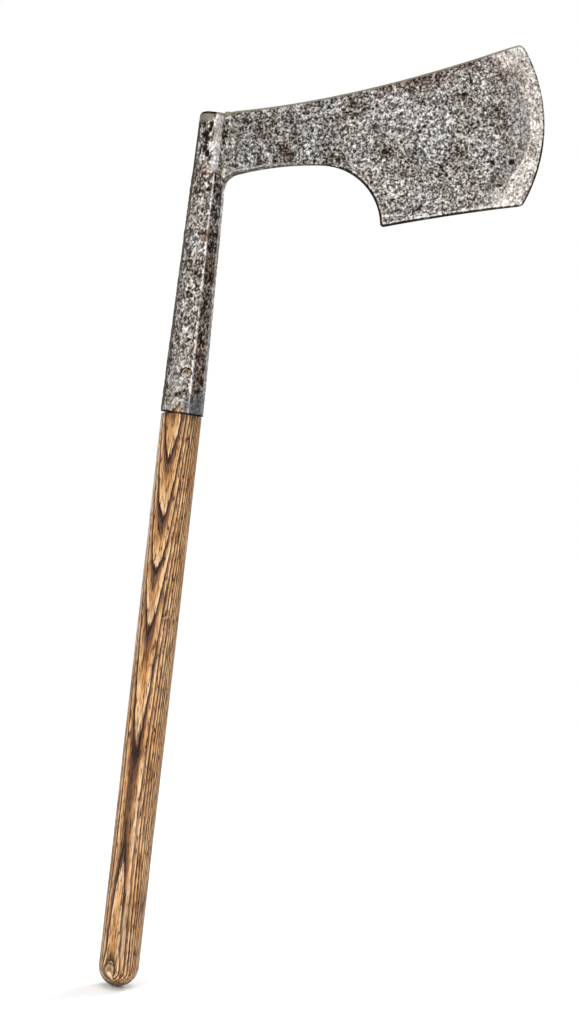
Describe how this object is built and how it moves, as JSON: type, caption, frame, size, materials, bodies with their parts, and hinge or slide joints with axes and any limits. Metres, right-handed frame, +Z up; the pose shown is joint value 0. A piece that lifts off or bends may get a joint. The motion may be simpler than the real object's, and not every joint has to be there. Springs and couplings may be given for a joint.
{
  "type": "broad axe",
  "caption": "Flat-backed hewing axe with a curved steel-edged blade, a long forged socket and a straight ash haft.",
  "frame": {"origin": "on the haft's axis, at the middle of the bare haft between the butt's end and the socket's mouth, where the haft_grip mount is", "axes": "+Z up the haft's axis to the head, +X out from the haft to the cutting edge, -Y the front that carries the bevel and +Y the flat back"},
  "size_m": [0.3003, 0.0346, 0.8382],
  "materials": {
    "blade_iron": "matte",
    "edge_steel": "satin",
    "socket_iron": "matte",
    "ash_wood": "satin",
    "wedge_wood": "matte",
    "nail_iron": "matte"
  },
  "bodies": {
    "root": {"blade_body": "blade_iron", "steel_bit": "edge_steel", "socket": "socket_iron", "haft": "ash_wood", "haft_wedge": "wedge_wood", "front_nail": "nail_iron", "back_nail": "nail_iron"}
  },
  "joints": []
}
